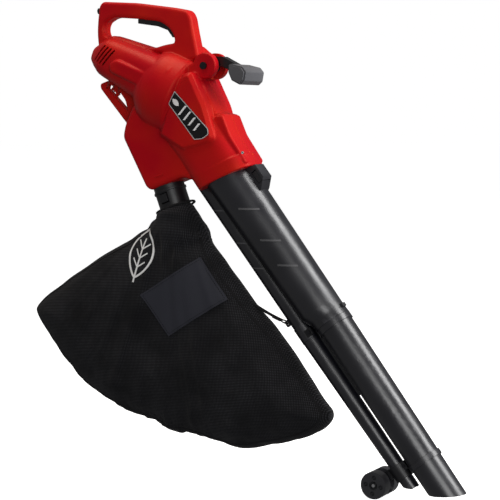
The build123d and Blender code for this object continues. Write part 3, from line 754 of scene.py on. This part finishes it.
def inflate(obj):
    """Cloth pass: a little pressure and its own weight settle the bag's walls."""
    held_reach, fade, frames, farthest = 0.075, 0.03, 18, 0.012
    held = obj.vertex_groups.new(name="held")
    for v in obj.data.vertices:
        reach = (v.co - NECK_END).length
        if reach < held_reach:
            held.add([v.index], min(1.0, (held_reach - reach) / fade), "REPLACE")
    cloth = obj.modifiers.new("cloth", "CLOTH")
    cloth.settings.quality = 5
    cloth.settings.mass = 0.4
    cloth.settings.tension_stiffness = 15
    cloth.settings.bending_stiffness = 0.4
    cloth.settings.use_pressure = True
    cloth.settings.uniform_pressure_force = 3.0
    cloth.settings.vertex_group_mass = "held"
    cloth.settings.shrink_min = -0.02
    cloth.collision_settings.use_collision = False
    cloth.settings.effector_weights.gravity = 0.15
    rest = [v.co.copy() for v in obj.data.vertices]
    for step in range(1, frames + 1):
        bpy.context.scene.frame_set(step)
    bake_modifiers(obj)
    bpy.context.scene.frame_set(1)
    for v, start in zip(obj.data.vertices, rest):
        moved = v.co - start
        if moved.length > farthest:
            v.co = start + moved.normalized() * farthest


def crease(obj):
    """Folds: gathers that fan out of the neck, slack along the lower seam, slow dents between."""
    neck_fade, low_from, low_fade = 0.11, -0.66, 0.12
    b = bmesh.new()
    b.from_mesh(obj.data)
    b.normal_update()
    for v in b.verts:
        p = v.co
        reach = Vector((p.x - NECK_END.x, p.z - NECK_END.z)).length
        near = math.exp(-(reach / neck_fade) ** 2)
        slack = Vector((p.x * 7 + p.z * 9, p.y * 8, p.z * 17 - p.x * 5))
        fold = (0.30 - abs(noise.noise(slack)) * 1.5) * 0.013 * near
        low = min(1.0, max(0.0, (low_from - p.z) / low_fade))
        sag = (abs(noise.noise(Vector((p.x * 9 + 4, p.y * 6, p.z * 22)))) - 0.2) * 0.0075 * low
        dent = noise.noise(p * 7 + Vector((3, 0, 1))) * 0.0042 + noise.noise(p * 19) * 0.0017
        ridge = (0.5 - abs(noise.noise(Vector((p.x * 5 + p.z * 6, p.y * 5, p.z * 3 - p.x * 7))))) * 0.0026
        patch = patch_share(p.x / MM, p.z / MM)
        v.co += v.normal * ((fold + sag + dent + ridge) * patch - 0.0015)
    b.to_mesh(obj.data)
    b.free()


def patch_share(x, z):
    """0 under the sewn patch, rising to 1 a little way outside it."""
    offset = Vector((x, z)) - PATCH_MID
    outside = max(abs(offset.dot(PATCH_ALONG)) - 0.5 * PATCH_LONG,
                  abs(offset.dot(PATCH_ACROSS)) - 0.5 * PATCH_WIDE)
    return min(1.0, max(0.0, (outside + 4) / 40))


inflate(bag)
crease(bag)
rounder = bag.modifiers.new("rounder", "SUBSURF")
rounder.levels = rounder.render_levels = 1
bake_modifiers(bag)
finished(bag, BAG_CLOTH, "collection_bag", ["bag", "bag_collar"], 80)
bpy.context.view_layer.update()
bag_tree = BVHTree.FromObject(bag, bpy.context.evaluated_depsgraph_get())


# ---- sewn and printed work on the bag ---------------------------------------------------------------------
def patch_point(along, across):
    spot = PATCH_MID + PATCH_ALONG * along + PATCH_ACROSS * across
    return Vector((spot.x, 0, spot.y))


def patch():
    """Flat sewn patch that follows the bag's face."""
    columns, rows = 49, 33
    points = [patch_point((u / (columns - 1) - 0.5) * PATCH_LONG, (v / (rows - 1) - 0.5) * PATCH_WIDE)
              for v in range(rows) for u in range(columns)]
    faces = [(v * columns + u, v * columns + u + 1, (v + 1) * columns + u + 1, (v + 1) * columns + u)
             for v in range(rows - 1) for u in range(columns - 1)]
    obj = drape(to_mesh("bag_patch_cloth", points, faces), bag_tree, -1, 1.9)
    flatten = obj.modifiers.new("flatten", "SMOOTH")
    flatten.iterations = 14
    flatten.use_x = flatten.use_z = False
    thick = obj.modifiers.new("thick", "SOLIDIFY")
    thick.thickness = 0.8 * MM
    thick.offset = 0
    bake_modifiers(obj)
    fix_normals(obj)
    return obj


def stitches(name, path, length=3.2, gap=1.6, lift=1.7, side=-1):
    """Thread dashes along a path on the bag's face."""
    dashes = []
    left = 0.0
    for a, b in zip(path, path[1:]):
        run = b - a
        while left + length < run.length:
            start, end = a + run.normalized() * left, a + run.normalized() * (left + length)
            dashes.append(swept("dash", [start, (start + end) / 2, end], 0.35, 0.3))
            left += length + gap
        left = max(0.0, left - run.length)
    return drape(join(name, dashes), bag_tree, side, lift)


patch_cloth = finished(patch(), PATCH_CLOTH, "collection_bag", ["bag_patch"], 60)
hem_u, hem_v = PATCH_LONG / 2 - 4, PATCH_WIDE / 2 - 4
corners = [patch_point(u, v) for u, v in
           ((-hem_u, -hem_v), (hem_u, -hem_v), (hem_u, hem_v), (-hem_u, hem_v), (-hem_u, -hem_v))]
finished(stitches("patch_stitching", corners, lift=2.5), WEBBING, "collection_bag")


def leaf_mark():
    """A plain leaf in white print: outline, midrib and veins."""
    middle, run = Vector((14, -470)), Vector((0.26, 1)).normalized()
    side = Vector((-run.y, run.x))
    loop = [Vector((p.x, 0, p.y)) for p in leaf_outline(middle, run, 96, 56, 40)]
    lines = [swept("outline", loop, 2.0, 0.25, closed=True)]

    def line(a, b, half_wide):
        flat = [middle + run * q[0] + side * q[1] for q in (a, b)]
        ends = [Vector((q.x, 0, q.y)) for q in flat]
        lines.append(swept("line", between(*ends, 12), half_wide, 0.25))

    line((-58, 0), (30, 0), 1.8)
    for turn in (1, -1):
        for start in (-26, -8, 10):
            line((start, turn * 1.5), (start + 13, turn * 15), 1.3)
    return drape(join("bag_leaf_print", lines), bag_tree, -1, 0.35)


finished(leaf_mark(), WHITE_PRINT, "collection_bag")


def seam_path(side, inset_by):
    """The bag's real outline drawn in by a distance, from one side of the neck round to the other."""
    neck = CONNECT @ Vector((50, 0, 0))
    neck_clear = 84

    def on_bag(spot):
        return bag_tree.ray_cast(Vector((spot.x * MM, side * 0.3, spot.y * MM)), Vector((0, -side, 0)))[0]

    points = []
    for p in EDGE:
        reach = (p - BAG_MID).length
        way = (p - BAG_MID) / reach
        reach += 20
        while not on_bag(BAG_MID + way * reach):
            reach -= 1
        spot = BAG_MID + way * (reach - inset_by)
        points.append(Vector((spot.x, 0, spot.y)))
    count = len(points)
    even = [sum((points[(i + k) % count] for k in (-2, -1, 0, 1, 2)), Vector()) / 5 for i in range(count)]
    away = [(p - Vector((neck.x, 0, neck.z))).length > neck_clear for p in even]
    start = next(i for i in range(count) if away[i] and not away[i - 1])
    turned = [k % count for k in range(start, start + count)]
    return [even[k] for k in turned if away[k]]


for tag, side in (("near", -1), ("far", 1)):
    piping = drape(swept("bag_piping_" + tag, seam_path(side, 11), 1.5, 1.5, 10), bag_tree, side, 0.4)
    finished(piping, WEBBING, "collection_bag", angle=80)
    sewn = stitches("bag_seam_" + tag, seam_path(side, 19), 4.0, 2.2, 0.3, side)
    finished(sewn, WEBBING, "collection_bag")
hem = [CONNECT @ Vector((44.5, 38.4 * math.cos(a), 38.9 * math.sin(a)))
       for a in (2 * math.pi * i / 64 for i in range(64))]
axis = CONNECT.to_3x3() @ Vector((1, 0, 0))
finished(swept("bag_neck_hem", hem, 1.9, 2.4, 10, True, axis), WEBBING, "collection_bag", angle=80)


def strap():
    """Webbing from the snap hook to the bag, doubled back at the hook."""
    eye_x, eye_z = 317.6, -592.0
    sewn_x, sewn_z = 250, -563
    lean = math.degrees(math.atan2(eye_z - sewn_z, sewn_x - eye_x))
    swing = axis_frame(eye_x, eye_z, lean)

    def bowed(x, above=0.0):
        return swing @ Vector((x, 0, 1.2 * math.sin((x - 14) / 60 * math.pi) + above))

    run = [bowed(x) for x in range(14, 84, 3)]
    fold = [bowed(x, 1.7) for x in range(15, 34, 3)]
    up = swing.to_3x3() @ Vector((0, 0, 1))
    parts = [swept("run", run, 6.0, 0.8, across=up), swept("fold", fold, 5.7, 0.8, across=up)]
    return join("bag_strap_webbing", parts)


finished(strap(), WEBBING, "bag_hook", ["bag_strap"])


# ---- ribs on the tubes ------------------------------------------------------------------------------------
def level_rib(name, radius, drop, height, start, end, tall):
    """Raised bar round a tube in a level plane, between two angles from the tube's top."""
    centre = TUBE @ Vector((0, 0, drop))
    along, up = TUBE.to_3x3() @ Vector((1, 0, 0)), TUBE.to_3x3() @ Vector((0, 0, 1))
    path = []
    for i in range(15):
        a = math.radians(start + (end - start) * i / 14)
        out = up * math.cos(a) + Vector((0, -math.sin(a), 0))
        rim_point = centre + out * radius
        path.append(rim_point + along * (height - rim_point.z) / along.z)
    rings = []
    for p, q in zip(path, path[1:] + [path[-1] * 2 - path[-2]]):
        distance = (p - centre).dot(along)
        out = (p - centre - along * distance).normalized()
        level = (q - p).normalized()
        rise = level.cross(out).normalized() * tall / 2
        proud, sunk = out * 0.7, out * 1.5
        rings.append([p + rise + proud, p - rise + proud, p - rise - sunk, p + rise - sunk])
    return skin(name, rings)


ribs = [level_rib("rib", radius, 0, height, 50, 92, 3.6)
        for radius, height in ((45.0, -376), (43.8, -433), (42.6, -478))]
ribs += [level_rib("rib", 17.0, -52, height, 55, 125, 2.2) for height in (-383, -443, -489)]
# The ribs take the paler wheel plastic as a painted highlight, so they show as light lines on the dark tube.
finished(join("rear_tube_ribs", ribs), WHEEL_BLACK, "tool")


# ---- floor, lights and camera -----------------------------------------------------------------------------
def floor():
    ground = box("floor", -40000, 40000, -40000, 40000, cad_low.z / MM - 20, cad_low.z / MM)
    look = Look("pale_floor", (0.86, 0.86, 0.86), 0.8, Emission_Color=(1, 1, 1, 1), Emission_Strength=0.86)
    look.two_tone(look.noise(3, 4), (0.85, 0.85, 0.85), (0.88, 0.88, 0.88))
    look.bump(look.noise(300), 0.1, 0.0002)
    ground.data.materials.append(look.material)
    ground.visible_glossy = False
    ground.visible_diffuse = False


def backdrop():
    """A pale dome that only the camera sees, so that dark plastic stays dark."""
    mesh = bpy.data.meshes.new("backdrop")
    b = bmesh.new()
    bmesh.ops.create_uvsphere(b, u_segments=48, v_segments=24, radius=39)
    b.to_mesh(mesh)
    b.free()
    dome = bpy.data.objects.new("backdrop", mesh)
    bpy.context.scene.collection.objects.link(dome)
    look = Look("backdrop", (0, 0, 0), 1.0, Emission_Color=(1, 1, 1, 1), Emission_Strength=1.0)
    dome.data.materials.append(look.material)
    for kind in ("diffuse", "glossy", "shadow", "transmission", "volume_scatter"):
        setattr(dome, "visible_" + kind, False)


def lamp(name, place, aim, size, watts, colour=(1, 1, 1), size_y=None):
    light = bpy.data.lights.new(name, "AREA")
    light.energy = watts
    light.color = colour
    light.size = size
    if size_y:
        light.shape = "RECTANGLE"
        light.size_y = size_y
    obj = bpy.data.objects.new(name, light)
    obj.location = place
    obj.rotation_mode = "QUATERNION"
    obj.rotation_quaternion = (Vector(aim) - Vector(place)).to_track_quat("-Z", "Y")
    bpy.context.scene.collection.objects.link(obj)


floor()
backdrop()
world = bpy.data.worlds.new("studio")
world.use_nodes = True
world.node_tree.nodes["Background"].inputs["Color"].default_value = (1, 1, 1, 1)
world.node_tree.nodes["Background"].inputs["Strength"].default_value = 0.17
bpy.context.scene.world = world
lamp("top_soft", (-0.2, -0.3, 1.6), (0.1, 0, -0.3), 1.2, 24, (1.0, 0.9, 0.78))
lamp("right_soft", (1.9, 0.45, 0.5), (0.35, 0, -0.55), 0.8, 52, size_y=2.4)
lamp("front_fill", (2.3, -2.5, 0.2), (0.0, 0, -0.5), 1.6, 40)

CAMERA_PLACE = (1.6546, -2.4587, -0.2084)
CAMERA_AIM = (0.235, 0, -0.4568)
camera = bpy.data.objects.new("camera", bpy.data.cameras.new("camera"))
bpy.context.scene.collection.objects.link(camera)
camera.location = CAMERA_PLACE
camera.rotation_mode = "QUATERNION"
camera.rotation_quaternion = (Vector(CAMERA_AIM) - camera.location).to_track_quat("-Z", "Y")
camera.data.lens = 108
camera.data.sensor_width = 36
bpy.context.scene.camera = camera
bpy.context.scene.view_settings.view_transform = "Standard"
